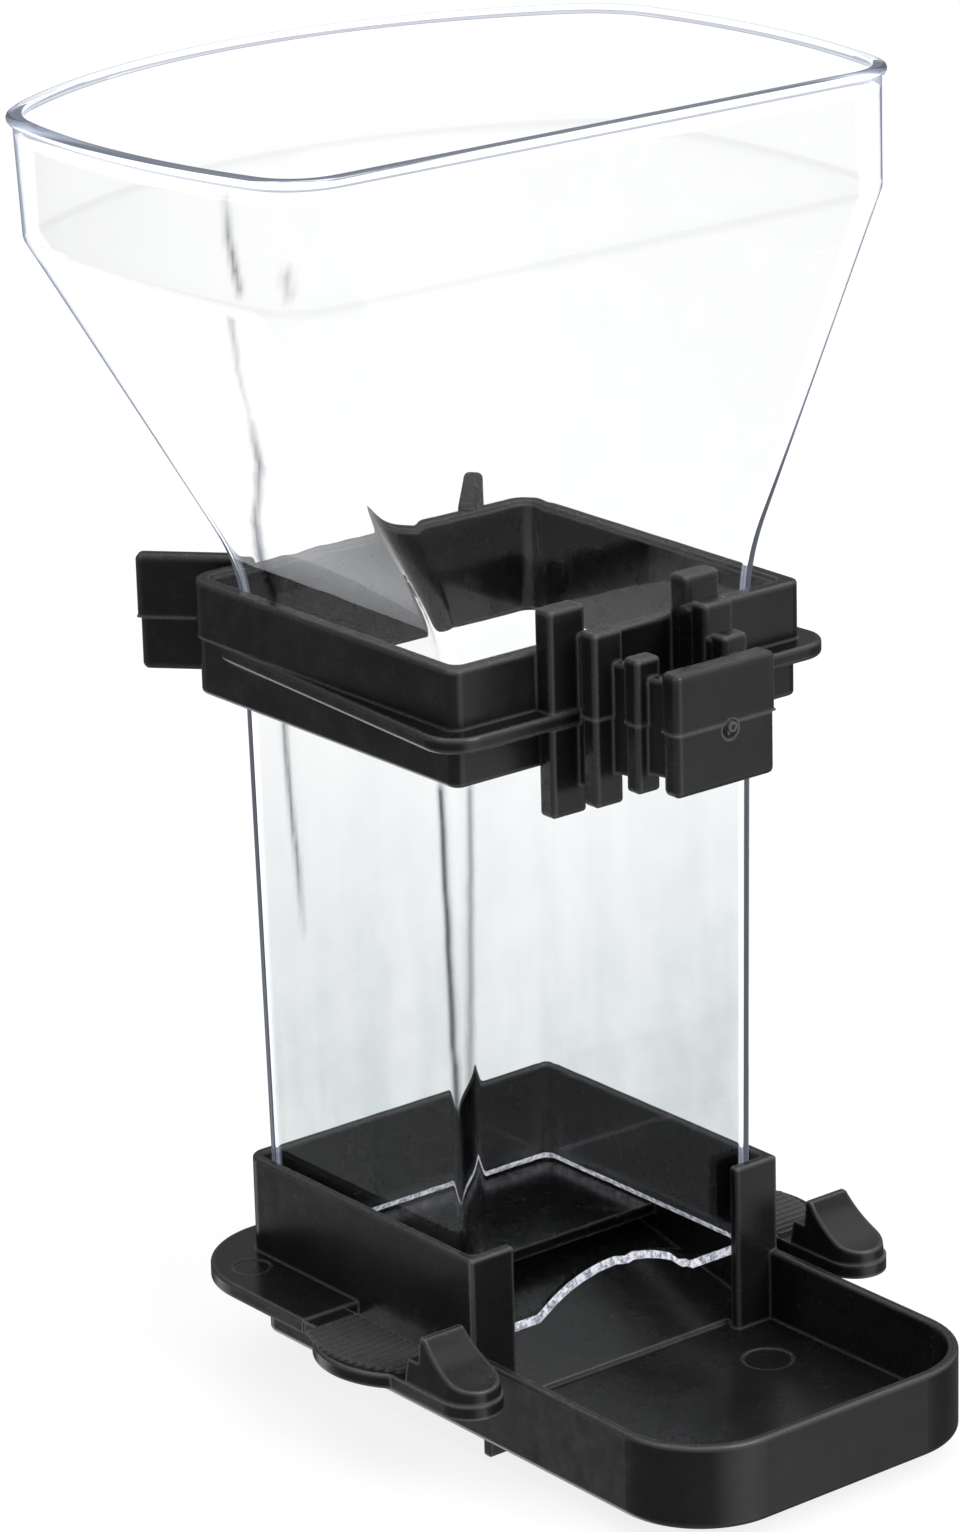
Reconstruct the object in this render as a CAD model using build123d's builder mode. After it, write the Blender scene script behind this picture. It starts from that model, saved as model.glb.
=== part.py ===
from build123d import *

import os

# Gravity-fed cage feeder: a clear hopper stands in a dark base with a seed tray, and a dark
# collar round the hopper's tube hooks over the cage bars with a stepped comb.
# Units are millimetres. +X points forward, out over the tray, +Y to the left, +Z up.
# The origin is on the tray's flat underside, midway between the two front posts.

# Base: tray in front, square sleeve for the hopper behind it
base_width = 49.6
wall = 1.4
floor_thickness = 1.5
tray_front = 40.5
tray_height = 10.8
tray_corner = 11.9
sleeve_back = -46.0
sleeve_height = 23.5
sleeve_corner = 2.4
body_back = -43.5
post_width = 6.8
post_thickness = 1.5
post_setback = 0.08
post_sink = 1.2
post_round = 0.4
groove_front = -0.3
groove_round = 1.8
rim_round = 0.45
foot_round = 0.8
ramp_top = 10.4
ramp_thickness = 1.6
ledge_depth = 1.0

# Flange round the base's rear, which carries the two spring latches
flange_top = 10.6
flange_bottom = 8.8
flange_back = -51.2
flange_half_width = 33.5
flange_corner = 13.0
flange_round = 0.4
latch_root = -23.0
root_gap = 0.25
slot_width = 2.4

# Spring latches: ribbed thumb pad and a wedge that snaps behind a bar
pad_reach = 38.0
pad_middle = -12.5
pad_half_length = 11.5
pad_shoulder = 2.5
pad_front = -3.0
pad_lip = 0.2
pad_rib_start = 3.6
pad_rib_outer_margin = 0.9
pad_rib_inner_margin = 0.5
pad_rib_pitch = 1.25
pad_rib_count = 14
pad_rib_height = 0.35
pad_rib_width = 0.6
wedge_back = -0.6
wedge_sink = 0.5
wedge_draft = 6.0
wedge_round = 0.35
plinth_length = 2.4
plinth_top = 13.6
ridge_length = 0.7
ridge_height = 16.9
wedge_inner = 27.3
wedge_outer = 35.0
wedge_slope_middle = (5.9, 14.0)
nose_tip = 11.2
nose_top = 12.1

# Stop rib under the tray's rear edge
stop_back = 0.4
stop_thickness = 1.4
stop_depth = 2.4
stop_half_width = 24.0
stop_round = 0.4

# Hollow under the ramp and stiffening rib under the flange
hollow_front = -9.0
stiffener_depth = 0.8
stiffener_front = -27.0
stiffener_half_width = 31.5
stiffener_thickness = 1.0

# Ejector pin marks: distance forward, distance to either side, radius
mark_depth = 0.24
tray_mark = (9.0, 15.0, 3.2)
flange_mark = (-40.5, 28.4, 2.4)

# Hopper: tapered square tube, funnel and straight rim band
shell = 1.2
hopper_bottom = 10.9
neck_height = 96.0
flare_start = 101.5
crease_height = 144.8
rim_height = 160.0
bead_height = 1.3
bead_reach = 0.6
arch_width = 24.6
arch_rise = 4.2
arch_depth = 6.0
least_corner = 1.2
neck_steps = 5
# Each section: front, rear corner, rear middle, half width in front and behind, side bulge,
# corner radius
tube_bottom = (-2.1, -44.1, -44.15, 23.0, 23.0, 0.05, 2.5)
tube_top = (-1.9, -44.6, -44.65, 24.2, 24.2, 0.05, 2.6)
crease = (-0.3, -54.7, -70.3, 46.2, 46.8, 2.5, 6.0)
band_top = (0.2, -55.1, -71.2, 45.4, 47.2, 3.95, 6.4)

# Collar: rectangular band, fin, rear hooks and front comb
collar_front = 2.7
collar_back = -50.7
collar_half_width = 27.2
collar_wall = 2.2
collar_corner = 3.6
collar_bevel = 3.2
collar_bevel_round = 1.5
collar_edge = 0.5
collar_bottom = 84.9
collar_top = 99.6
parting_height = 92.2
parting_step = 0.35
fin_thickness = 2.0
fin_reach = 3.3
fin_front = 5.7
fin_root = 0.6
fin_corner = 4.5
fin_round = 0.5
hook_thickness = 2.5
hook_length = 15.2
hook_angle = 48.0
hook_root = 16.5
hook_sink = 0.6
hook_bottom = 85.2
hook_top = 100.3
hook_round = 0.8

# Front comb: two arms that draw in towards an end plate, with paired plates across them
comb_centre = -1.5
comb_height = 91.9
comb_pitch = 5.3
arm_thickness = 1.6
arm_half_gap_back = 8.0
arm_half_gap_front = 4.8
arm_overlap_back = 0.6
arm_overlap_front = 0.4
plate_round = 0.55
plate_step = 0.14
flash_reach = 0.06
flash_height = 0.16
flash_corner = 0.5
plate_sink = 0.3
arm_round = 0.4
# Each pair of plates: thickness, half width over both, half height, width of one
comb_plates = (
    (3.0, 13.2, 12.9, 5.5),
    (2.9, 10.8, 10.8, 4.5),
    (2.7, 8.6, 8.3, 3.7),
)
end_plate_thickness = 3.1
end_plate_half_width = 7.7
end_plate_half_height = 7.6
end_plate_round = 0.8
gate_radius = 0.8
gate_stub = 0.35
gate_sink = 0.5
gate_draft = 12.0
gate_side = 0.6
gate_drop = 0.2
gate_dent = 1.3
gate_dent_stand = 0.3
gate_dent_drop = 0.6
web_half_heights = (9.4, 6.9, 6.0)

# How far a cut runs past the face it opens, and the tolerance for choosing edges
past = 1.0
near = 0.1

os.makedirs("parts", exist_ok=True)

half_width = base_width / 2
inner_half = half_width - wall
sleeve_inner_back = sleeve_back + wall
post_inner = half_width - post_width
arm_inner = half_width + slot_width
nose_start = nose_tip - (wedge_outer - wedge_inner) / 2
ramp_slope = (ramp_top - floor_thickness) / -sleeve_inner_back


def ramp_z(x):
    """Height of the sloping floor inside the sleeve."""
    return floor_thickness - ramp_slope * x


def rounded_block(low, high, radius):
    """Block between two corners with every edge rounded."""
    with BuildPart() as block:
        with Locations(tuple((a + b) / 2 for a, b in zip(low, high))):
            Box(*(b - a for a, b in zip(low, high)))
        fillet(block.edges(), radius)
    return block.part


# Base ---------------------------------------------------------------------------------------
def sleeve_walls():
    """Square sleeve with a rounded rim, whose front corners turn in behind the posts."""
    rise = sleeve_height - flange_bottom
    with BuildPart() as walls:
        with BuildSketch(Plane.XY.offset(flange_bottom)) as outline:
            with Locations(((sleeve_back + groove_front) / 2, 0)):
                Rectangle(groove_front - sleeve_back, base_width)
            rear, front = outline.vertices().group_by(Axis.X)
            fillet(rear, sleeve_corner)
            fillet(front, groove_round)
        extrude(amount=rise)
        with BuildSketch(Plane.XY.offset(flange_bottom)) as inside:
            with Locations(((sleeve_inner_back - post_thickness) / 2, 0)):
                Rectangle(-post_thickness - sleeve_inner_back, 2 * inner_half)
            fillet(inside.vertices(), sleeve_corner - wall)
        extrude(amount=rise, mode=Mode.SUBTRACT)
        fillet(walls.faces().sort_by(Axis.Z)[-1].edges(), rim_round)
    return walls.part


def flange_plate():
    """Flange with round rear corners and a softened upper edge."""
    with BuildPart() as plate:
        with BuildSketch(Plane.XY.offset(flange_bottom)) as outline:
            with Locations(((flange_back + latch_root) / 2, 0)):
                Rectangle(latch_root - flange_back, 2 * flange_half_width)
            fillet(outline.vertices().group_by(Axis.X)[0], flange_corner)
        extrude(amount=flange_top - flange_bottom)
        fillet(plate.faces().sort_by(Axis.Z)[-1].edges(), flange_round)
    return plate.part


with BuildPart() as base:
    # Lower body and tray, with rounded front corners
    with BuildSketch() as body_outline:
        with Locations(((body_back + tray_front) / 2, 0)):
            Rectangle(tray_front - body_back, base_width)
        front_corners = body_outline.vertices().group_by(Axis.X)[-1]
        fillet(front_corners, tray_corner)
        fillet(body_outline.vertices().group_by(Axis.X)[0], sleeve_corner)
    extrude(amount=tray_height)
    fillet(base.faces().sort_by(Axis.Z)[0].edges(), foot_round)
    # Inside of the tray, and its rounded rim
    with BuildSketch(Plane.XY.offset(floor_thickness)) as tray_inside:
        with Locations(((tray_front - wall) / 2, 0)):
            Rectangle(tray_front - wall, 2 * inner_half)
        fillet(tray_inside.vertices().group_by(Axis.X)[-1], tray_corner - wall)
    extrude(amount=sleeve_height, mode=Mode.SUBTRACT)
    fillet(base.faces().sort_by(Axis.Z)[-1].edges(), rim_round)
    # Room for the hopper and the seed above the ramp
    with BuildSketch(Plane.XZ.offset(-inner_half)):
        with BuildLine():
            Polyline(
                (sleeve_inner_back, tray_height + past),
                (sleeve_inner_back, ramp_top),
                (sleeve_inner_back + wall + ledge_depth, ramp_top),
                (-post_thickness, ramp_z(-post_thickness)),
                (-post_thickness, tray_height + past),
                close=True,
            )
        make_face()
    extrude(amount=2 * inner_half, mode=Mode.SUBTRACT)
    add(flange_plate())
    # The sleeve's inside stays clear of the flange
    with BuildSketch(Plane.XY.offset(flange_top)):
        with Locations(((sleeve_inner_back - post_thickness) / 2, 0)):
            Rectangle(-post_thickness - sleeve_inner_back, 2 * inner_half)
    extrude(amount=-(flange_top - ramp_top), mode=Mode.SUBTRACT)
    add(sleeve_walls())
    # Doorway between the posts, a little wider than the gap that the posts then leave
    doorway_top = sleeve_height + past
    with BuildSketch(Plane.YZ.offset(-post_thickness - past)):
        with Locations((0, (floor_thickness + doorway_top) / 2)):
            Rectangle(2 * (post_inner + post_round), doorway_top - floor_thickness)
    extrude(amount=post_thickness + 2 * past, mode=Mode.SUBTRACT)
    for side in (1, -1):
        inner_y = side * post_inner
        outer_y = side * (half_width - post_setback)
        low = (-post_thickness, min(inner_y, outer_y), floor_thickness - post_sink)
        high = (0, max(inner_y, outer_y), sleeve_height)
        add(rounded_block(low, high, post_round))
    # Hollow under the ramp, open downward
    with BuildSketch(Plane.XZ.offset(-inner_half)):
        with BuildLine():
            Polyline(
                (body_back + wall, -past),
                (body_back + wall, ramp_z(body_back + wall) - ramp_thickness),
                (hollow_front, ramp_z(hollow_front) - ramp_thickness),
                (hollow_front, -past),
                close=True,
            )
        make_face()
    extrude(amount=2 * inner_half, mode=Mode.SUBTRACT)
    # Stop rib that bears on a cage bar below the tray
    stop_low = (stop_back, -stop_half_width, -stop_depth)
    stop_high = (stop_back + stop_thickness, stop_half_width, floor_thickness / 2)
    add(rounded_block(stop_low, stop_high, stop_round))
    # Stiffening rib under the flange
    stiffener_length = stiffener_front - body_back
    with BuildSketch(Plane.XY.offset(flange_bottom)):
        with Locations(((body_back + stiffener_front) / 2, 0)):
            Rectangle(stiffener_length, 2 * stiffener_half_width)
            Rectangle(
                stiffener_length - 2 * stiffener_thickness,
                2 * (stiffener_half_width - stiffener_thickness),
                mode=Mode.SUBTRACT,
            )
    extrude(amount=-stiffener_depth)
    # Ejector pin marks
    for (x, y, radius), top in ((tray_mark, floor_thickness), (flange_mark, flange_top)):
        with Locations((x, y, top), (x, -y, top)):
            Cylinder(radius, mark_depth, mode=Mode.SUBTRACT)
base.part.label = "base"
export_step(base.part, "parts/base.step")


# Spring latches -----------------------------------------------------------------------------
def latch_wedge():
    """Wedge with drafted sides: plinth, upright catch face, ridge and a slope to a round nose."""
    catch = wedge_back + plinth_length
    above = ridge_height + past
    ahead = nose_tip + past
    foot = flange_top - wedge_sink
    with BuildPart() as wedge:
        with BuildSketch(Plane.XY.offset(foot)):
            with BuildLine():
                Polyline(
                    (nose_start, wedge_outer),
                    (wedge_back, wedge_outer),
                    (wedge_back, wedge_inner),
                    (nose_start, wedge_inner),
                )
                ThreePointArc(
                    (nose_start, wedge_inner),
                    (nose_tip, (wedge_inner + wedge_outer) / 2),
                    (nose_start, wedge_outer),
                )
            make_face()
        extrude(amount=above - foot, taper=wedge_draft)
        with BuildSketch(Plane.XZ.offset(-wedge_outer - past)):
            with BuildLine():
                Polyline(
                    (ahead, nose_top),
                    (ahead, above + past),
                    (wedge_back - past, above + past),
                    (wedge_back - past, plinth_top),
                    (catch, plinth_top),
                    (catch, ridge_height),
                    (catch + ridge_length, ridge_height),
                )
                ridge_front = (catch + ridge_length, ridge_height)
                ThreePointArc(ridge_front, wedge_slope_middle, (ahead, nose_top))
            make_face()
        extrude(amount=wedge_outer - wedge_inner + 2 * past, mode=Mode.SUBTRACT)
        upper = wedge.edges().filter_by(lambda edge: edge.center().Z > nose_top - near)
        fillet(upper.filter_by(lambda edge: edge.center().X > catch + near), wedge_round)
    return wedge.part


def spring_latch():
    """The latch on the +Y side, lying along X with its root at the flange."""
    outer_edge = wedge_outer + pad_lip
    with BuildPart() as latch:
        # Arm and leaf-shaped pad
        with BuildSketch(Plane.XY.offset(flange_bottom)):
            with BuildLine():
                pad_start = (latch_root + pad_shoulder, flange_half_width)
                pad_end = (pad_front, outer_edge)
                nose_outer = (nose_start, outer_edge)
                nose_inner = (nose_start, arm_inner)
                Polyline(
                    pad_start,
                    (latch_root + root_gap, flange_half_width),
                    (latch_root + root_gap, arm_inner),
                    nose_inner,
                )
                nose_end = (nose_tip + pad_lip, (arm_inner + outer_edge) / 2)
                ThreePointArc(nose_inner, nose_end, nose_outer)
                Line(nose_outer, pad_end)
                ThreePointArc(pad_end, (pad_middle, pad_reach), pad_start)
            make_face()
        extrude(amount=flange_top - flange_bottom)
        fillet(latch.faces().sort_by(Axis.Z)[-1].edges().sort_by(Axis.Y)[-1], flange_round)
        # Ribs across the thumb pad
        with BuildSketch(Plane.XY.offset(flange_top - flange_round)):
            for rib in range(pad_rib_count):
                x = latch_root + pad_rib_start + rib * pad_rib_pitch
                bulge = max(1 - ((x - pad_middle) / pad_half_length) ** 2, 0)
                reach = flange_half_width + (pad_reach - flange_half_width) * bulge
                outer = reach - pad_rib_outer_margin
                inner = arm_inner + pad_rib_inner_margin
                with Locations((x, (inner + outer) / 2)):
                    SlotOverall(outer - inner, pad_rib_width, rotation=90)
        extrude(amount=pad_rib_height + flange_round)
        add(latch_wedge())
    return latch.part


with BuildPart() as left_latch:
    add(spring_latch())
left_latch.part.label = "left_latch"
export_step(left_latch.part, "parts/left_latch.step")

with BuildPart() as right_latch:
    mirror(spring_latch(), about=Plane.XZ)
right_latch.part.label = "right_latch"
export_step(right_latch.part, "parts/right_latch.step")


# Hopper -------------------------------------------------------------------------------------
def between(low, high, share):
    """Section part of the way from one to another."""
    return tuple(a + (b - a) * share for a, b in zip(low, high))


def section_face(section, height, inset=0.0):
    """Face of one hopper section at a height, drawn in by an inset."""
    front, corner, middle, front_half, rear_half, bulge, radius = section
    front, corner, middle = front - inset, corner + inset, middle + inset
    front_half, rear_half = front_half - inset, rear_half - inset
    side = ((front + corner) / 2, (front_half + rear_half) / 2 + bulge)
    with BuildSketch(Plane.XY.offset(height)) as drawn:
        with BuildLine():
            Line((front, -front_half), (front, front_half))
            ThreePointArc((front, front_half), side, (corner, rear_half))
            ThreePointArc((corner, rear_half), (middle, 0), (corner, -rear_half))
            ThreePointArc((corner, -rear_half), (side[0], -side[1]), (front, -front_half))
        make_face()
        fillet(drawn.vertices(), max(radius - inset, least_corner))
    return drawn.sketch


def flare(height):
    """Share of the funnel's spread at a height, easing in round the neck."""
    ease = flare_start - neck_height
    slope = 1 / (crease_height - flare_start)
    if height <= flare_start + ease:
        return slope * (height - neck_height) ** 2 / (4 * ease)
    return slope * (height - flare_start)


def hopper_form(inset, low, high):
    """Closed solid of the hopper's outside, or of its inside when inset by the wall."""
    step = 2 * (flare_start - neck_height) / neck_steps
    heights = [neck_height + n * step for n in range(neck_steps + 1)]
    with BuildPart() as form:
        loft([section_face(tube_bottom, low, inset), section_face(tube_top, neck_height, inset)])
        stack = [section_face(between(tube_top, crease, flare(z)), z, inset) for z in heights]
        stack.append(section_face(crease, crease_height, inset))
        loft(stack, ruled=True)
        loft([section_face(crease, crease_height, inset), section_face(band_top, high, inset)])
    return form.part


with BuildPart() as hopper:
    add(hopper_form(0, hopper_bottom, rim_height))
    # Bead round the rim
    add(extrude(section_face(band_top, rim_height - bead_height, -bead_reach), amount=bead_height))
    add(hopper_form(shell, hopper_bottom, rim_height), mode=Mode.SUBTRACT)
    # Arch in the front wall, where the seed runs out
    arch_radius = (arch_width**2 / 4 + arch_rise**2) / (2 * arch_rise)
    with BuildSketch(Plane.YZ.offset(-arch_depth)):
        with Locations((0, hopper_bottom + arch_rise - arch_radius)):
            Circle(arch_radius)
    extrude(amount=arch_depth + past, mode=Mode.SUBTRACT)
hopper.part.label = "hopper"
export_step(hopper.part, "parts/hopper.step")


# Collar -------------------------------------------------------------------------------------
collar_length = collar_front - collar_back
collar_middle = (collar_front + collar_back) / 2
comb_reach = comb_pitch * 3


def band_face(height, inset):
    """The band's outline at a height, drawn in by an inset: round rear and bevelled front corners."""
    with BuildSketch(Plane.XY.offset(height)) as drawn:
        with Locations((collar_middle, 0)):
            Rectangle(collar_length - 2 * inset, 2 * (collar_half_width - inset))
        rear, front = drawn.vertices().group_by(Axis.X)
        fillet(rear, collar_corner - inset)
        chamfer(front, collar_bevel - inset / 2)
        bevel_corners = drawn.vertices().filter_by(lambda corner: corner.X > collar_middle)
        fillet(bevel_corners, collar_bevel_round)
    return drawn.sketch


def collar_bore():
    """Room for the hopper's tube, with its mouths eased."""
    ease = collar_edge
    with BuildPart() as bore:
        through = collar_top - collar_bottom + 2 * past
        add(extrude(band_face(collar_bottom - past, collar_wall), amount=through))
        wide = collar_wall - ease
        loft([band_face(collar_top - ease, collar_wall), band_face(collar_top, wide)])
        loft([band_face(collar_bottom, wide), band_face(collar_bottom + ease, collar_wall)])
    return bore.part


def band_half(low, high, inset, rim):
    """One moulded half of the band, solid for now, with its rim edge rounded."""
    with BuildPart() as half:
        add(extrude(band_face(low, inset), amount=high - low))
        fillet(half.faces().sort_by(Axis.Z)[rim].edges(), collar_edge)
    return half.part


def side_fin():
    """Flat fin below the parting plane, which runs out at the rear and stops at the comb."""
    foot = parting_height - fin_thickness
    with BuildPart() as fin:
        with BuildSketch(Plane.XY.offset(foot)) as outline:
            with BuildLine():
                Polyline(
                    (collar_back + collar_corner, collar_half_width - fin_root),
                    (fin_front, collar_half_width + fin_reach),
                    (fin_front, -collar_half_width - fin_reach),
                    (collar_back + collar_corner, -collar_half_width + fin_root),
                    close=True,
                )
            make_face()
            fillet(outline.vertices().group_by(Axis.X)[-1], fin_corner)
        extrude(amount=fin_thickness)
        fillet(fin.edges().filter_by(Plane.XY), fin_round)
        # Room between the comb's two arms
        with Locations((fin_front, comb_centre, foot + fin_thickness / 2)):
            long = 2 * (fin_front - collar_front + past)
            across = 2 * arm_half_gap_back + arm_thickness
            Box(long, across, fin_thickness + 2 * past, mode=Mode.SUBTRACT)
    return fin.part


def moulded_bar(low, high, radius, parting, step):
    """Rounded block whose half below the parting plane is a little smaller all round."""
    with BuildPart() as upper:
        add(rounded_block(low, high, radius))
        split(bisect_by=Plane.XY.offset(parting), keep=Keep.TOP)
    with BuildPart() as lower:
        low_inset = (low[0] + step, low[1] + step, low[2])
        high_inset = (high[0] - step, high[1] - step, high[2])
        add(rounded_block(low_inset, high_inset, radius))
        split(bisect_by=Plane.XY.offset(parting), keep=Keep.BOTTOM)
    with BuildPart() as bar:
        add(upper.part)
        add(lower.part)
        # Fine line of flash that the mould leaves at the parting plane
        with Locations(((low[0] + high[0]) / 2, (low[1] + high[1]) / 2, parting)):
            long = high[0] - low[0] + 2 * flash_reach
            across = high[1] - low[1] + 2 * flash_reach
            Box(long, across, flash_height)
        uprights = bar.edges().filter_by(Axis.Z)
        fillet(uprights.filter_by(lambda edge: edge.length < 2 * flash_height), flash_corner)
    return bar.part


def rear_hook(side):
    """Upright blade that leaves the rear wall at an angle, for a cage bar to pass behind."""
    turn = side * -(90 - hook_angle)
    root = (collar_back + hook_sink, side * hook_root, 0)
    low = (-hook_length, -hook_thickness / 2, hook_bottom)
    high = (0, hook_thickness / 2, hook_top)
    blade = moulded_bar(low, high, hook_round, parting_height, parting_step)
    return Location(root, (0, 0, turn)) * blade


def comb_arm(index, side):
    """Length of one of the comb's two arms behind a gap, drawing in towards the end plate."""
    web = web_half_heights[index]
    narrowing = (arm_half_gap_back - arm_half_gap_front) / comb_reach
    start = index * comb_pitch - arm_overlap_back
    stop = (index + 1) * comb_pitch + arm_overlap_front
    gap_start = arm_half_gap_back - narrowing * start
    gap_stop = arm_half_gap_back - narrowing * stop
    with BuildPart() as arm:
        with BuildSketch(Plane.XY.offset(comb_height - web)):
            with BuildLine():
                Polyline(
                    (collar_front + start, comb_centre + side * gap_start),
                    (collar_front + start, comb_centre + side * (gap_start + arm_thickness)),
                    (collar_front + stop, comb_centre + side * (gap_stop + arm_thickness)),
                    (collar_front + stop, comb_centre + side * gap_stop),
                    close=True,
                )
            make_face()
        extrude(amount=2 * web)
        ends = arm.faces().sort_by(Axis.Z)
        long_edges = ends[0].edges() + ends[-1].edges()
        fillet(long_edges.filter_by(lambda edge: edge.length > arm_thickness + 1), arm_round)
    return arm.part


with BuildPart() as collar:
    # The two halves meet at the parting plane, and the lower one is a little smaller
    add(band_half(parting_height, collar_top, 0, -1))
    add(band_half(collar_bottom, parting_height, parting_step, 0))
    add(side_fin())
    for side in (1, -1):
        add(rear_hook(side))
        for index in range(len(comb_plates)):
            add(comb_arm(index, side))
    # Stepped plates that the cage bars slide between
    for index, (thickness, outer, tall, across) in enumerate(comb_plates):
        back = collar_front + index * comb_pitch - plate_sink
        for side in (1, -1):
            near = comb_centre + side * (outer - across)
            far = comb_centre + side * outer
            low = (back, min(near, far), comb_height - tall)
            high = (back + thickness, max(near, far), comb_height + tall)
            add(moulded_bar(low, high, plate_round, parting_height, plate_step))
    # End plate with the stub of the moulding gate
    end_back = collar_front + comb_reach
    end_front = end_back + end_plate_thickness
    low = (end_back, comb_centre - end_plate_half_width, comb_height - end_plate_half_height)
    high = (end_front, comb_centre + end_plate_half_width, comb_height + end_plate_half_height)
    add(moulded_bar(low, high, end_plate_round, parting_height, plate_step))
    gate_y = comb_centre + gate_side
    with Locations((end_front + gate_dent_stand, gate_y, comb_height - gate_dent_drop)):
        Sphere(gate_dent, mode=Mode.SUBTRACT)
    with BuildSketch(Plane.YZ.offset(end_front - gate_sink)):
        with Locations((gate_y, comb_height - gate_drop)):
            Circle(gate_radius)
    extrude(amount=gate_sink + gate_stub, taper=gate_draft)
    add(collar_bore(), mode=Mode.SUBTRACT)
collar.part.label = "collar"
export_step(collar.part, "parts/collar.step")
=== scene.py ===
from math import atan, cos, exp, pi, radians, sin, sqrt

import bmesh
import bpy
from mathutils import Matrix, Vector
from mathutils.noise import noise as snoise


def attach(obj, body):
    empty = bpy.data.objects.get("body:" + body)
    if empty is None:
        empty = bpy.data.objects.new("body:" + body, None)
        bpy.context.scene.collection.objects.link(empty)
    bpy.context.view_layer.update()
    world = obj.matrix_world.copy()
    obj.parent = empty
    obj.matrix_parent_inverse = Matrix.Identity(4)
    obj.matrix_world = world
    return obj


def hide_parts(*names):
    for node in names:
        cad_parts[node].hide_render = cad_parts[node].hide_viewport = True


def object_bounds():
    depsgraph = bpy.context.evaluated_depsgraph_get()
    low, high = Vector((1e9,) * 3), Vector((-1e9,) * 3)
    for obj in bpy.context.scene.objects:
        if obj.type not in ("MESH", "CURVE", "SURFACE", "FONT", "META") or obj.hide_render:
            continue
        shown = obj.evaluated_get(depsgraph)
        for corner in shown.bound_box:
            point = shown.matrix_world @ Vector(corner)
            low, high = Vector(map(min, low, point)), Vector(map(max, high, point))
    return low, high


# Gravity cage feeder: dark moulded base, latches and collar, and a clear hopper. The object's
# lengths are millimetres, which mm() turns into metres. The stage's lengths are metres.

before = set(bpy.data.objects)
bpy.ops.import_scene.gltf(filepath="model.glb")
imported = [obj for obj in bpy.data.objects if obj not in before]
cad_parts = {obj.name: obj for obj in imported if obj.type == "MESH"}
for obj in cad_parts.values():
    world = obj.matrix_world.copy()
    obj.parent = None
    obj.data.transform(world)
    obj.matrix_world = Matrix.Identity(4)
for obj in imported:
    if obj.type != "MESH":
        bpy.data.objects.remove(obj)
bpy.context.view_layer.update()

SCENE = bpy.context.scene
MM_PER_M = 1000


def mm(*values):
    """Millimetres to metres: one number, or a Vector of three."""
    if len(values) == 1:
        return values[0] / MM_PER_M
    return Vector(values) / MM_PER_M


# Camera -------------------------------------------------------------------------------------
CAMERA_POSITION = (491.4, -408.3, 297.9)
CAMERA_TARGET = (-27.1, 0.0, 74.45)
CAMERA_ROLL = -1.51
SENSOR = 36.0
FOCAL_LENGTH = 131.6
CLIP_RANGE = (0.01, 20)


def looking(position, target):
    """Placement of a camera or lamp that stands at a position and looks at a target."""
    aim = target - position
    turn = aim.to_track_quat("-Z", "Y").to_matrix().to_4x4()
    return Matrix.Translation(position) @ turn


def make_camera():
    data = bpy.data.cameras.new("camera")
    data.sensor_fit = "VERTICAL"
    data.sensor_height = SENSOR
    data.lens = FOCAL_LENGTH
    data.clip_start, data.clip_end = CLIP_RANGE
    camera = bpy.data.objects.new("camera", data)
    SCENE.collection.objects.link(camera)
    roll = Matrix.Rotation(radians(CAMERA_ROLL), 4, "Z")
    camera.matrix_world = looking(mm(*CAMERA_POSITION), mm(*CAMERA_TARGET)) @ roll
    SCENE.camera = camera


# Materials ----------------------------------------------------------------------------------
def new_material(name):
    material = bpy.data.materials.new(name)
    material.use_nodes = True
    return material, material.node_tree.nodes, material.node_tree.links


def noise(nodes, links, coordinates, scale, detail=4.0, roughness=0.55):
    """Noise fixed to the piece: scale is features per metre."""
    texture = nodes.new("ShaderNodeTexNoise")
    texture.inputs["Scale"].default_value = scale
    texture.inputs["Detail"].default_value = detail
    texture.inputs["Roughness"].default_value = roughness
    links.new(coordinates, texture.inputs["Vector"])
    return texture.outputs["Fac"]


def ramp(nodes, links, source, low, high, low_value, high_value):
    """Maps a value from low..high to low_value..high_value, clamped."""
    mapped = nodes.new("ShaderNodeMapRange")
    mapped.inputs["From Min"].default_value = low
    mapped.inputs["From Max"].default_value = high
    mapped.inputs["To Min"].default_value = low_value
    mapped.inputs["To Max"].default_value = high_value
    links.new(source, mapped.inputs["Value"])
    return mapped.outputs["Result"]


def colour_mix(nodes, links, share, low, high):
    """Mixes two colours by a share. Each colour is a fixed value or another node's output."""
    mix = nodes.new("ShaderNodeMix")
    mix.data_type = "RGBA"
    for name, colour in (("A", low), ("B", high)):
        if isinstance(colour, tuple):
            mix.inputs[name].default_value = (*colour, 1)
        else:
            links.new(colour, mix.inputs[name])
    links.new(share, mix.inputs["Factor"])
    return mix.outputs["Result"]


def combine(nodes, links, operation, first, second):
    """Adds or multiplies two values."""
    both = nodes.new("ShaderNodeMath")
    both.operation = operation
    links.new(first, both.inputs[0])
    links.new(second, both.inputs[1])
    return both.outputs["Value"]


def add_bump(nodes, links, height, strength, depth):
    """Bump on the material's shader, with its depth in millimetres."""
    bump = nodes.new("ShaderNodeBump")
    bump.inputs["Strength"].default_value = strength
    bump.inputs["Distance"].default_value = mm(depth)
    links.new(height, bump.inputs["Height"])
    links.new(bump.outputs["Normal"], nodes["Principled BSDF"].inputs["Normal"])


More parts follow.
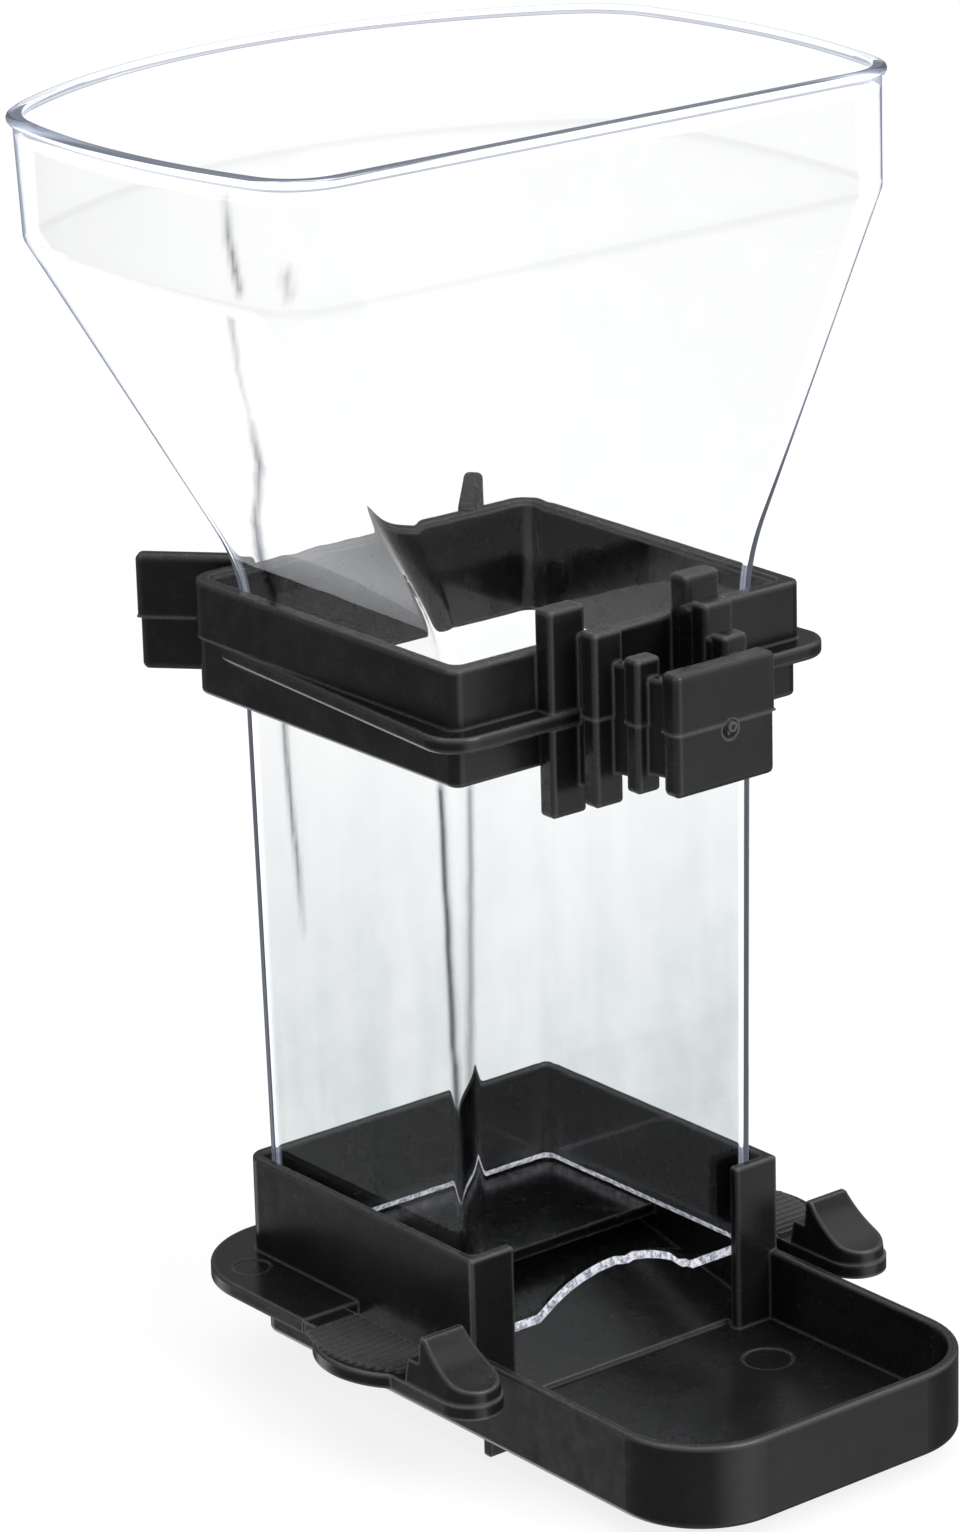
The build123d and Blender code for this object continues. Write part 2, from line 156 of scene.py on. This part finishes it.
# Noise scales are features per metre. A bump is its strength and its depth.
PLASTIC_IOR = 1.5
CLOUD_SCALE = 70
SMEAR_SCALE = 320
GRAIN_SCALE = 2600
GRAIN_BUMP = (0.1, 0.05)
DARK_SPECULAR = 0.4
DARK_TONES = ((0.0065, 0.0064, 0.0058), (0.0125, 0.0125, 0.012))
DARK_GLOSS = (0.2, 0.32)
# Lighter tone on the edges: partly rubs, partly a painted highlight
RUB_AND_HIGHLIGHT_TONE = (0.15, 0.15, 0.145)
RUB_AND_HIGHLIGHT_WIDTH = 0.6
RUB_AND_HIGHLIGHT_AGREEMENT = (0.998, 0.94)
RUB_AND_HIGHLIGHT_MOST = 0.85


def dark_plastic():
    """Near-black moulded plastic: half gloss, faint grain, cloudy tone, and edges painted lighter,
    partly as rubs and partly as a painted highlight.
    """
    material, nodes, links = new_material("dark_plastic")
    shader = nodes["Principled BSDF"]
    shader.inputs["IOR"].default_value = PLASTIC_IOR
    shader.inputs["Specular IOR Level"].default_value = DARK_SPECULAR
    place = nodes.new("ShaderNodeTexCoord").outputs["Object"]
    cloudy = noise(nodes, links, place, CLOUD_SCALE, 5)
    smear = noise(nodes, links, place, SMEAR_SCALE, 6, 0.7)
    grain = noise(nodes, links, place, GRAIN_SCALE, 3)
    tone = colour_mix(nodes, links, ramp(nodes, links, cloudy, 0.35, 0.65, 0, 1), *DARK_TONES)
    # Edges are painted lighter, partly as rubs and partly as a painted highlight. An edge is where
    # the rounded normal turns away from the face's own normal
    rounded = nodes.new("ShaderNodeBevel")
    rounded.samples = 4
    rounded.inputs["Radius"].default_value = mm(RUB_AND_HIGHLIGHT_WIDTH)
    agree = nodes.new("ShaderNodeVectorMath")
    agree.operation = "DOT_PRODUCT"
    links.new(rounded.outputs["Normal"], agree.inputs[0])
    links.new(nodes.new("ShaderNodeNewGeometry").outputs["Normal"], agree.inputs[1])
    edges = ramp(nodes, links, agree.outputs["Value"], *RUB_AND_HIGHLIGHT_AGREEMENT, 0, RUB_AND_HIGHLIGHT_MOST)
    rubbed_and_highlit = colour_mix(nodes, links, edges, tone, RUB_AND_HIGHLIGHT_TONE)
    links.new(rubbed_and_highlit, shader.inputs["Base Color"])
    links.new(ramp(nodes, links, smear, 0.35, 0.7, *DARK_GLOSS), shader.inputs["Roughness"])
    add_bump(nodes, links, grain, *GRAIN_BUMP)
    return material


# Painted glow of the hopper's bead and two corners: a little light given off by the clear wall
EDGE_GLOW = 0.13
EDGE_GLOW_COLOUR = (0.72, 0.8, 1.0, 1)
CLEAR_IOR = 1.38
CLEAR_SPECULAR_TINT = (0.1, 0.1, 0.1, 1)
BAND_SCALE = 120
BLOTCH_SCALE = 130
RUB_SCALE = 900
RUB_ROUGHNESS = 0.015
WAVE_SCALE = 45
WAVE_BUMP = (0.3, 0.3)
CLEAR_TINT = (0.993, 0.994, 0.994)
# Grey tint: random haze in bands and patches, with painted shade that makes it strongest low down
HAZE_AND_SHADE_TINT = (0.7, 0.74, 0.75)
HAZE_AND_SHADE_LEVELS = (35.0, 88.0)
HAZE_AND_SHADE_ABOVE = 0.06
BAND_SQUEEZE = 0.12
# Attribute and colour of the painted dark refraction lines and the painted shade along the crease
PAINTED_LINE_ATTRIBUTE = "painted_line_shade"
PAINTED_LINE_TONE = (0.0, 0.002, 0.012)


def clear_plastic(name, edge_glow=0.0):
    """Clear moulded plastic: a grey tint in upright bands and patches that is random haze and,
    strongest low down, painted shade; painted dark refraction lines and a painted shade along the
    crease; rubs and waviness.
    With edge_glow it has a painted glow: it gives off a little light, standing in for the light
    that runs along inside the wall."""
    material, nodes, links = new_material(name)
    shader = nodes["Principled BSDF"]
    shader.inputs["Transmission Weight"].default_value = 1.0
    shader.inputs["IOR"].default_value = CLEAR_IOR
    shader.inputs["Specular Tint"].default_value = CLEAR_SPECULAR_TINT
    if edge_glow:
        shader.inputs["Emission Color"].default_value = EDGE_GLOW_COLOUR
        shader.inputs["Emission Strength"].default_value = edge_glow
    place = nodes.new("ShaderNodeTexCoord").outputs["Object"]
    stretch = nodes.new("ShaderNodeMapping")
    stretch.inputs["Scale"].default_value = (1, 1, BAND_SQUEEZE)
    links.new(place, stretch.inputs["Vector"])
    bands = noise(nodes, links, stretch.outputs["Vector"], BAND_SCALE, 4)
    blotches = noise(nodes, links, place, BLOTCH_SCALE, 5, 0.6)
    streaky = ramp(nodes, links, bands, 0.35, 0.7, 0.5, 1)
    patchy = ramp(nodes, links, blotches, 0.3, 0.7, 0.6, 1)
    haze = combine(nodes, links, "MULTIPLY", streaky, patchy)
    # The tint is full low down and fades above: painted shade over the random haze
    level = nodes.new("ShaderNodeSeparateXYZ")
    links.new(place, level.inputs["Vector"])
    strongest_tint, clearest = mm(HAZE_AND_SHADE_LEVELS[0]), mm(HAZE_AND_SHADE_LEVELS[1])
    low_down = ramp(nodes, links, level.outputs["Z"], strongest_tint, clearest, 1, HAZE_AND_SHADE_ABOVE)
    fade = combine(nodes, links, "MULTIPLY", haze, low_down)
    tint = colour_mix(nodes, links, fade, CLEAR_TINT, HAZE_AND_SHADE_TINT)
    # Painted dark refraction lines and crease shade, read from the points
    painted_line_shade = nodes.new("ShaderNodeAttribute")
    painted_line_shade.attribute_name = PAINTED_LINE_ATTRIBUTE
    painted_lines = colour_mix(nodes, links, painted_line_shade.outputs["Fac"], tint, PAINTED_LINE_TONE)
    links.new(painted_lines, shader.inputs["Base Color"])
    rub = noise(nodes, links, place, RUB_SCALE, 6, 0.7)
    links.new(ramp(nodes, links, rub, 0.6, 0.85, 0.0, RUB_ROUGHNESS), shader.inputs["Roughness"])
    add_bump(nodes, links, noise(nodes, links, place, WAVE_SCALE, 2), *WAVE_BUMP)
    return material


TEAR_SCALE = 1500
TEAR_BUMP = (0.6, 0.15)
CUT_TRANSMISSION = 0.1
CUT_GLOSS = (0.35, 0.6)
CUT_TONES_AND_GLOW = ((0.16, 0.16, 0.2), (0.84, 0.83, 0.9))
# Strength of the cut edge's painted glow
CUT_GLOW = 0.75


def cut_edge():
    """Frosted, slightly torn lower edge of the clear hopper, with a painted glow: it gives off
    light in its own tones.
    """
    material, nodes, links = new_material("clear_cut_edge")
    shader = nodes["Principled BSDF"]
    shader.inputs["Transmission Weight"].default_value = CUT_TRANSMISSION
    shader.inputs["IOR"].default_value = PLASTIC_IOR
    place = nodes.new("ShaderNodeTexCoord").outputs["Object"]
    rough = noise(nodes, links, place, TEAR_SCALE, 5, 0.7)
    tone = colour_mix(nodes, links, ramp(nodes, links, rough, 0.4, 0.6, 0, 1), *CUT_TONES_AND_GLOW)
    links.new(tone, shader.inputs["Base Color"])
    # Painted glow: the cut edge gives off light in its own tones
    links.new(tone, shader.inputs["Emission Color"])
    shader.inputs["Emission Strength"].default_value = CUT_GLOW
    links.new(ramp(nodes, links, rough, 0.3, 0.7, *CUT_GLOSS), shader.inputs["Roughness"])
    add_bump(nodes, links, rough, *TEAR_BUMP)
    return material


# Hopper -------------------------------------------------------------------------------------
# Each section: front, rear corner, rear middle, half width in front and behind, side bulge,
# corner radius
TUBE_BOTTOM = (-2.1, -44.1, -44.15, 23.0, 23.0, 0.05, 2.5)
TUBE_TOP = (-1.9, -44.6, -44.65, 24.2, 24.2, 0.05, 2.6)
CREASE = (-0.3, -54.7, -70.3, 46.2, 46.8, 2.5, 6.0)
BAND_TOP = (0.2, -55.1, -71.2, 45.4, 47.2, 3.95, 6.4)
SHELL = 1.2
LEAST_CORNER = 1.2

# Heights, and the bead round the mouth
HOPPER_BOTTOM = 10.9
NECK_HEIGHT = 96.0
FLARE_START = 101.5
CREASE_HEIGHT = 144.8
RIM_HEIGHT = 160.0
BEAD_HEIGHT = 1.3
BEAD_REACH = 0.6

# Arched outlet in the front wall: it lies ahead of ARCH_BACK, and the rings of points above
# it are level again at ARCH_FADED
ARCH_WIDTH = 24.6
ARCH_RISE = 4.2
ARCH_BACK = -12
ARCH_FADED = 30
ARCH_FADE_POWER = 1.5

# Torn lower edge, and the small roundings of crease, bead and lip
NICK_HEIGHT = 0.05
NICKS_PER_MM = 1.3
NICK_PLACE = 3.0
BURRS = (1.5, 10.5)
BURR_HEIGHT = 0.5
BURR_WIDTH = 0.6
CHIP = 0.9
CUT_BEVEL = 0.15
CREASE_ROUND = 0.25
BEAD_FOOT = 0.12
BEAD_TILT = 0.3
LIP_ROUND = 0.35

# How finely the hopper's mesh is divided
FOOT_ROWS = (13.0, 15.0)
TUBE_ROWS_START = 17.5
TUBE_ROW = 2.5
TUBE_ROW_COUNT = 31
EASE_ROWS = 12
FLARE_ROWS_OUTSIDE = 40
FLARE_ROWS_INSIDE = 16
BAND_ROWS = 7
BEAD_STEPS = 6
SIDE_POINTS = 56
CORNER_POINTS = 14
# A corner's curve: its pull towards the corner, and the step that gives a side's direction
CORNER_PULL = 0.39
TANGENT_STEP = 0.002
# Arcs that rise less than FLAT_RISE are drawn as parabolas, and no side is quite straight
FLAT_RISE = 0.2
MIN_BOW = 0.001

# Material slots of the hopper, and the corners of its outline that get the same painted glow as its
# rim
CLEAR_SLOT, CUT_SLOT, PAINTED_GLOW_SLOT = range(3)
GLOWING_CORNERS = (0, 2)


def between(low, high, share):
    return tuple(a + (b - a) * share for a, b in zip(low, high))


def flare(height):
    """Share of the funnel's spread at a height, easing in round the neck."""
    ease = FLARE_START - NECK_HEIGHT
    slope = 1 / (CREASE_HEIGHT - FLARE_START)
    if height <= NECK_HEIGHT:
        return 0.0
    if height <= FLARE_START + ease:
        return slope * (height - NECK_HEIGHT) ** 2 / (4 * ease)
    return slope * (height - FLARE_START)


def section_at(height):
    """The hopper's outer section at a height."""
    if height <= NECK_HEIGHT:
        share = (height - HOPPER_BOTTOM) / (NECK_HEIGHT - HOPPER_BOTTOM)
        return between(TUBE_BOTTOM, TUBE_TOP, share)
    if height <= CREASE_HEIGHT:
        return between(TUBE_TOP, CREASE, flare(height))
    return between(CREASE, BAND_TOP, (height - CREASE_HEIGHT) / (RIM_HEIGHT - CREASE_HEIGHT))


def arc_through(first, middle, last, share):
    """Point on the circle arc through three points, share of the way along it."""
    a, b, c = Vector(first), Vector(middle), Vector(last)
    chord = c - a
    half = chord.length / 2
    rise = (b - (a + c) / 2).length
    if rise < FLAT_RISE:
        out = (b - (a + c) / 2) * 4 * share * (1 - share)
        return a + chord * share + out
    radius = (half * half + rise * rise) / (2 * rise)
    outward = (b - (a + c) / 2).normalized()
    centre = b - outward * radius
    swing = 2 * atan(half / (radius - rise)) if radius > rise else pi
    along = chord.normalized()
    angle = (share - 0.5) * swing
    return centre + outward * radius * cos(angle) + along * radius * sin(angle)


# Painted dark refraction lines in the clear wall: wall, width, then (place along the wall, height,
# strength)
PAINTED_REFRACTION_LINES = (
    ("side", 0.55, ((-4.3, 84, 0.93), (-4.0, 56, 0.9), (-3.7, 40, 0.85), (-3.7, 14, 0.7))),
    ("front", 0.5, ((-21.4, 84, 0.6), (-22.0, 56, 0.55), (-22.3, 44, 0.45), (-22.3, 30, 0.0))),
    ("front", 0.35, ((21.6, 84, 0.3), (21.5, 56, 0.35), (21.4, 16, 0.3))),
    ("side", 0.6, ((-35.3, 92, 0.7), (-34.9, 78, 0.8), (-33.8, 66, 0.75), (-33.0, 55, 0.0))),
    ("side", 0.6, ((-9.8, 158, 0.1), (-9.5, 153, 0.65), (-8.8, 149, 0.75), (-8.0, 146, 0.5))),
    ("side", 0.6, ((-11.0, 143, 0.5), (-15.5, 135, 0.4), (-18.4, 128.5, 0.3))),
    ("side", 0.9, ((-18.4, 128.5, 0.3), (-22.5, 121, 0.95), (-27.0, 116, 0.7), (-31.8, 111, 0.95))),
    ("side", 1.0, ((-31.8, 111, 0.95), (-35.6, 105, 1.0), (-35.6, 97, 0.8), (-35.3, 92, 0.75))),
    ("side", 0.4, ((-2.6, 151, 0.0), (-2.4, 149, 0.4), (-2.2, 147, 0.3))),
)
PAINTED_LINE_SWAY = 0.25
SWAYS_PER_MM = 0.35
SIDE_SHARE = 0.8
FRONT_LIMIT = -4.5
# Painted shade along the crease
FOLD_PAINTED_SHADE = 0.12
FOLD_WIDTH = 0.35


def outline(section, inset):
    """Closed loop of points for a section, with the same count for every section."""
    front, corner, middle, front_half, rear_half, bulge, radius = section
    front, corner, middle = front - inset, corner + inset, middle + inset
    front_half, rear_half = front_half - inset, rear_half - inset
    radius = max(radius - inset, LEAST_CORNER)
    side_x, side_y = (front + corner) / 2, (front_half + rear_half) / 2 + bulge
    sides = (
        ((front, -front_half), (front + MIN_BOW, 0), (front, front_half)),
        ((front, front_half), (side_x, side_y), (corner, rear_half)),
        ((corner, rear_half), (middle, 0), (corner, -rear_half)),
        ((corner, -rear_half), (side_x, -side_y), (front, -front_half)),
    )
    points = []
    for index, (first, mid, last) in enumerate(sides):
        length = (Vector(last) - Vector(first)).length
        trim = radius / length
        for step in range(SIDE_POINTS + 1):
            even = step / SIDE_POINTS
            crowded = (even + (1 - cos(pi * even)) / 2) / 2
            points.append(arc_through(first, mid, last, trim + (1 - 2 * trim) * crowded))
        following = sides[(index + 1) % 4]
        next_length = (Vector(following[2]) - Vector(following[0])).length
        start = points[-1]
        end = arc_through(*following, radius / next_length)
        before = arc_through(first, mid, last, 1 - trim - TANGENT_STEP)
        after = arc_through(*following, radius / next_length + TANGENT_STEP)
        points.extend(round_corner(start, start - before, end, end - after))
    return points


def round_corner(start, start_way, end, end_way):
    """Points strictly between start and end on a smooth quarter turn tangent to both ways."""
    reach = (end - start).length * CORNER_PULL
    first = start + start_way.normalized() * reach
    second = end + end_way.normalized() * reach
    points = []
    for step in range(1, CORNER_POINTS):
        t = step / CORNER_POINTS
        a, b, c, d = (1 - t) ** 3, 3 * t * (1 - t) ** 2, 3 * t * t * (1 - t), t**3
        points.append(start * a + first * b + second * c + end * d)
    return points


def arch_lift(point):
    """How far the bottom edge rises at a point of the front wall."""
    if point.x < ARCH_BACK or abs(point.y) > ARCH_WIDTH / 2:
        return 0.0
    radius = (ARCH_WIDTH**2 / 4 + ARCH_RISE**2) / (2 * ARCH_RISE)
    return sqrt(radius**2 - point.y**2) - (radius - ARCH_RISE)


def wall_heights(flare_rows):
    """Heights of the rings up a wall, with a given number of them in the straight flare."""
    ease_end = 2 * FLARE_START - NECK_HEIGHT
    ease_step = (ease_end - NECK_HEIGHT) / EASE_ROWS
    flare_step = (CREASE_HEIGHT - CREASE_ROUND - ease_end) / flare_rows
    heights = list(FOOT_ROWS)
    heights += [TUBE_ROWS_START + TUBE_ROW * n for n in range(TUBE_ROW_COUNT)]
    heights += [NECK_HEIGHT + ease_step * n for n in range(EASE_ROWS)]
    heights += [ease_end + flare_step * n for n in range(flare_rows + 1)]
    band_start = CREASE_HEIGHT + CREASE_ROUND
    band_step = (RIM_HEIGHT - BEAD_HEIGHT - band_start) / BAND_ROWS
    heights += [band_start, band_start + CREASE_ROUND]
    heights += [band_start + band_step * n for n in range(1, BAND_ROWS)]
    return heights


def hopper_rows():
    """(height, inset, is_bottom) of each ring of points, up the outside and down the inside."""
    rows = [(HOPPER_BOTTOM, CUT_BEVEL, True), (HOPPER_BOTTOM + CUT_BEVEL, 0, True)]
    rows.append((HOPPER_BOTTOM + CHIP, 0, True))
    rows += [(z, 0, False) for z in wall_heights(FLARE_ROWS_OUTSIDE)]
    low = RIM_HEIGHT - BEAD_HEIGHT
    mid = RIM_HEIGHT - BEAD_HEIGHT / 2
    turn = BEAD_HEIGHT / 2
    rows += [(low - BEAD_FOOT, 0, False), (low, -BEAD_FOOT, False)]
    for step in range(BEAD_STEPS + 1):
        angle = -pi / 2 + BEAD_TILT + (pi - BEAD_TILT) * step / BEAD_STEPS
        rows.append((mid + turn * sin(angle), -BEAD_REACH + turn * (1 - cos(angle)), False))
    rows.append((RIM_HEIGHT, SHELL - LIP_ROUND, False))
    rows.append((RIM_HEIGHT - LIP_ROUND / 3, SHELL - LIP_ROUND / 3, False))
    rows.append((RIM_HEIGHT - LIP_ROUND, SHELL, False))
    rows += [(z, SHELL, False) for z in reversed(wall_heights(FLARE_ROWS_INSIDE))]
    rows += [(HOPPER_BOTTOM + CHIP, SHELL, True), (HOPPER_BOTTOM, SHELL - CHIP / 2, True)]
    return rows


def painted_shade_at(point, height, half):
    """How dark the clear wall's outside is painted at a point: 0 clear, 1 a full painted refraction
    line. A painted shade also runs along the crease.
    """
    dark = 0.0
    for wall, width, stations in PAINTED_REFRACTION_LINES:
        if not stations[-1][1] <= height <= stations[0][1]:
            continue
        if wall == "side" and point.y > -half * SIDE_SHARE:
            continue
        if wall == "front" and point.x < FRONT_LIMIT:
            continue
        along = point.x if wall == "side" else point.y
        for upper, lower in zip(stations, stations[1:]):
            if lower[1] <= height <= upper[1]:
                share = (upper[1] - height) / (upper[1] - lower[1])
                line = upper[0] + (lower[0] - upper[0]) * share
                strength = upper[2] + (lower[2] - upper[2]) * share
                line += PAINTED_LINE_SWAY * snoise(Vector((0, len(wall), height * SWAYS_PER_MM)))
                dark = max(dark, strength * exp(-(((along - line) / width) ** 2)))
    fold = FOLD_PAINTED_SHADE * exp(-(((height - CREASE_HEIGHT) / FOLD_WIDTH) ** 2))
    return 1 - (1 - max(dark, fold)) ** 2


def torn(point):
    """Small nicks and two burrs along the cut lower edge, in millimetres of height."""
    along = Vector((point.x * NICKS_PER_MM, point.y * NICKS_PER_MM, NICK_PLACE))
    nicks = NICK_HEIGHT * snoise(along)
    if point.x <= ARCH_BACK:
        return nicks
    return nicks - sum(BURR_HEIGHT * exp(-(((point.y - y) / BURR_WIDTH) ** 2)) for y in BURRS)


def material_slot(row, row_count, height, corner):
    """Material of a face: cut lower edge, bead and corners with a painted glow, or clear wall."""
    if row in (0, row_count - 2, row_count - 1):
        return CUT_SLOT
    if height > RIM_HEIGHT - BEAD_HEIGHT or corner in GLOWING_CORNERS:
        return PAINTED_GLOW_SLOT
    return CLEAR_SLOT


def make_hopper(clear, cut, rim):
    """Hollow shell: rings of points up the outside, over the bead and down the inside."""
    mesh = bpy.data.meshes.new("hopper_shell")
    shape = bmesh.new()
    # Each outer point carries how strongly the painted refraction lines and crease shade darken it
    painted_line_shade = shape.verts.layers.float.new(PAINTED_LINE_ATTRIBUTE)
    rings = []
    rows = hopper_rows()
    for height, inset, is_bottom in rows:
        loop = outline(section_at(min(height, RIM_HEIGHT)), inset)
        ring = []
        for point in loop:
            lift = arch_lift(point)
            z = height
            if is_bottom:
                z = height + lift + torn(point)
            elif height < ARCH_FADED:
                left = (ARCH_FADED - height) / (ARCH_FADED - HOPPER_BOTTOM)
                z = height + lift * left**ARCH_FADE_POWER
            vertex = shape.verts.new(mm(point.x, point.y, z))
            if inset <= 0:
                vertex[painted_line_shade] = painted_shade_at(point, z, section_at(height)[3])
            ring.append(vertex)
        rings.append(ring)
    count = len(rings[0])
    per_side = SIDE_POINTS + CORNER_POINTS
    for row, ring in enumerate(rings):
        above = rings[(row + 1) % len(rings)]
        for k in range(count):
            after = (k + 1) % count
            face = shape.faces.new((ring[k], ring[after], above[after], above[k]))
            face.smooth = True
            corner = k // per_side if k % per_side >= SIDE_POINTS else None
            face.material_index = material_slot(row, len(rings), rows[row][0], corner)
    bmesh.ops.recalc_face_normals(shape, faces=shape.faces)
    shape.to_mesh(mesh)
    shape.free()
    for material in (clear, cut, rim):
        mesh.materials.append(material)
    hopper = bpy.data.objects.new("hopper_shell", mesh)
    SCENE.collection.objects.link(hopper)
    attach(hopper, "hopper")
    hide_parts("hopper")


# Dark parts ---------------------------------------------------------------------------------
def dress_dark_parts(material):
    """Dark plastic on the CAD pieces, whose meshes stay as they are."""
    for name in ("base", "collar", "left_latch", "right_latch"):
        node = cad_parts[name]
        node.data.materials.clear()
        node.data.materials.append(material)


# Stage --------------------------------------------------------------------------------------
FLOOR_REACH = 6.0
FLOOR_ALBEDO = 0.2
FLOOR_ROUGHNESS = 0.75
FLOOR_GLOW = 0.84
BACKDROP = 0.9
SEEN_THROUGH_WALL = 0.35
ROOM_COLOUR = (0.94, 0.96, 1.0, 1)
ROOM_LEVELS = (0.13, 0.62)
# Soft glows that the plastic reflects: direction, cosines where it starts and is full, strength
GLOWS = (((0.9, 0.22, -0.37), 0.8, 1.0, 1.2), ((-0.71, -0.2, -0.68), 0.92, 0.97, 2.1))
# Soft boxes: name, position, size, watts
SOFT_BOXES = (
    ("side", (-0.1, -0.85, 0.75), (0.5, 0.6), 0.9),
    ("front", (0.85, 0.25, 0.75), (0.6, 0.6), 6.5),
    ("top", (-0.1, 0.15, 1.2), (1.8, 1.8), 7.0),
)
SOFT_BOX_AIM = (-0.02, 0.0, 0.08)


def make_floor():
    """Pale floor under the object's lowest point, left out of the plastic's reflections."""
    material, nodes, _ = new_material("floor_white")
    shader = nodes["Principled BSDF"]
    shader.inputs["Base Color"].default_value = (FLOOR_ALBEDO, FLOOR_ALBEDO, FLOOR_ALBEDO, 1)
    shader.inputs["Roughness"].default_value = FLOOR_ROUGHNESS
    shader.inputs["Emission Color"].default_value = (1, 1, 1, 1)
    shader.inputs["Emission Strength"].default_value = FLOOR_GLOW
    mesh = bpy.data.meshes.new("floor")
    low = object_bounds()[0][2]
    ways = ((-1, -1), (1, -1), (1, 1), (-1, 1))
    corners = [(x * FLOOR_REACH, y * FLOOR_REACH, low) for x, y in ways]
    mesh.from_pydata(corners, [], [(0, 1, 2, 3)])
    mesh.materials.append(material)
    floor = bpy.data.objects.new("floor", mesh)
    SCENE.collection.objects.link(floor)
    floor.visible_glossy = False


def soft_box(name, position, size, power):
    data = bpy.data.lights.new(name, "AREA")
    data.shape = "RECTANGLE"
    data.size, data.size_y = size
    data.energy = power
    light = bpy.data.objects.new(name, data)
    SCENE.collection.objects.link(light)
    light.matrix_world = looking(Vector(position), Vector(SOFT_BOX_AIM))


def make_light():
    """Dim room that grows lighter overhead, with two glows and three soft boxes."""
    world = bpy.data.worlds.new("studio")
    world.use_nodes = True
    nodes, links = world.node_tree.nodes, world.node_tree.links
    background = nodes["Background"]
    direction = nodes.new("ShaderNodeTexCoord").outputs["Generated"]
    split = nodes.new("ShaderNodeSeparateXYZ")
    links.new(direction, split.inputs["Vector"])
    total = ramp(nodes, links, split.outputs["Z"], 0.1, 0.95, *ROOM_LEVELS)
    for way, edge, core, strength in GLOWS:
        facing = nodes.new("ShaderNodeVectorMath")
        facing.operation = "DOT_PRODUCT"
        facing.inputs[1].default_value = way
        links.new(direction, facing.inputs[0])
        glow = ramp(nodes, links, facing.outputs["Value"], edge, core, 0.0, strength)
        total = combine(nodes, links, "ADD", total, glow)
    # Seen straight, the room is a pale backdrop. Through the clear wall it is darker than that,
    # so that the far rim's lines show.
    path = nodes.new("ShaderNodeLightPath")
    seen = nodes.new("ShaderNodeMath")
    seen.operation = "MULTIPLY_ADD"
    seen.inputs[1].default_value = SEEN_THROUGH_WALL
    links.new(path.outputs["Is Transmission Ray"], seen.inputs[0])
    links.new(path.outputs["Is Camera Ray"], seen.inputs[2])
    room = nodes.new("ShaderNodeMix")
    room.inputs["B"].default_value = BACKDROP
    links.new(seen.outputs["Value"], room.inputs["Factor"])
    links.new(total, room.inputs["A"])
    links.new(room.outputs["Result"], background.inputs["Strength"])
    background.inputs["Color"].default_value = ROOM_COLOUR
    SCENE.world = world
    for box in SOFT_BOXES:
        soft_box(*box)
    SCENE.view_settings.view_transform = "Standard"
    SCENE.view_settings.look = "None"


make_camera()
dark = dark_plastic()
clear = clear_plastic("clear_plastic")
make_hopper(clear, cut_edge(), clear_plastic("clear_rim_painted_glow", edge_glow=EDGE_GLOW))
dress_dark_parts(dark)
make_floor()
make_light()
